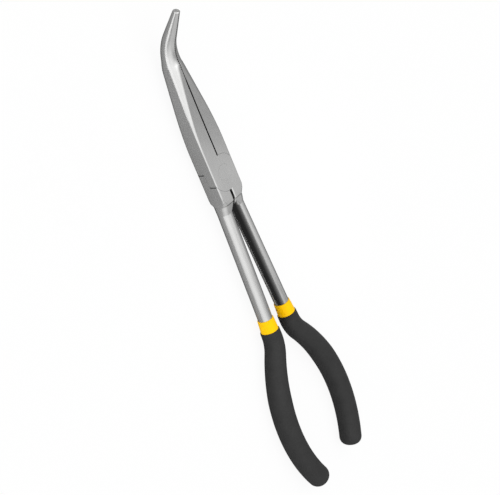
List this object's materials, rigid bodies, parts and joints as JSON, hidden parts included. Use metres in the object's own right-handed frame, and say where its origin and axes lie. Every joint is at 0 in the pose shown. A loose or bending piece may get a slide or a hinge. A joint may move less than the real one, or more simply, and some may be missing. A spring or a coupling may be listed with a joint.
{
  "type": "needle nose pliers",
  "caption": "Long-reach needle nose pliers with bent round tips, serrated jaws, a flush riveted lap joint, long round shanks and dipped vinyl grips over a yellow band.",
  "frame": {"origin": "on the rivet's axis, at the back face of the lap joint", "axes": "+Z along the rivet's axis, out of the joint's front face, which the tips bend towards; +Y to the tips; +X to the right seen from the front"},
  "size_m": [0.0624, 0.2788, 0.0261],
  "materials": {
    "forged_steel": "satin ground chrome vanadium steel with a fine grain",
    "rivet_steel": "peened and ground flush with the joint's faces",
    "yellow_vinyl": "satin dipped vinyl",
    "black_vinyl": "matte dipped vinyl with a fine pebble"
  },
  "bodies": {
    "back": {"back_half": "forged_steel", "pivot_rivet": "rivet_steel", "back_grip_base": "yellow_vinyl", "back_grip": "black_vinyl"},
    "front": {"front_half": "forged_steel", "front_grip_base": "yellow_vinyl", "front_grip": "black_vinyl"}
  },
  "joints": [
    {"name": "pivot", "type": "hinge", "parent": "back", "child": "front", "pos_m": [0, 0, 0], "axis": [0, 0, 1], "range_deg": [0, 40]}
  ]
}
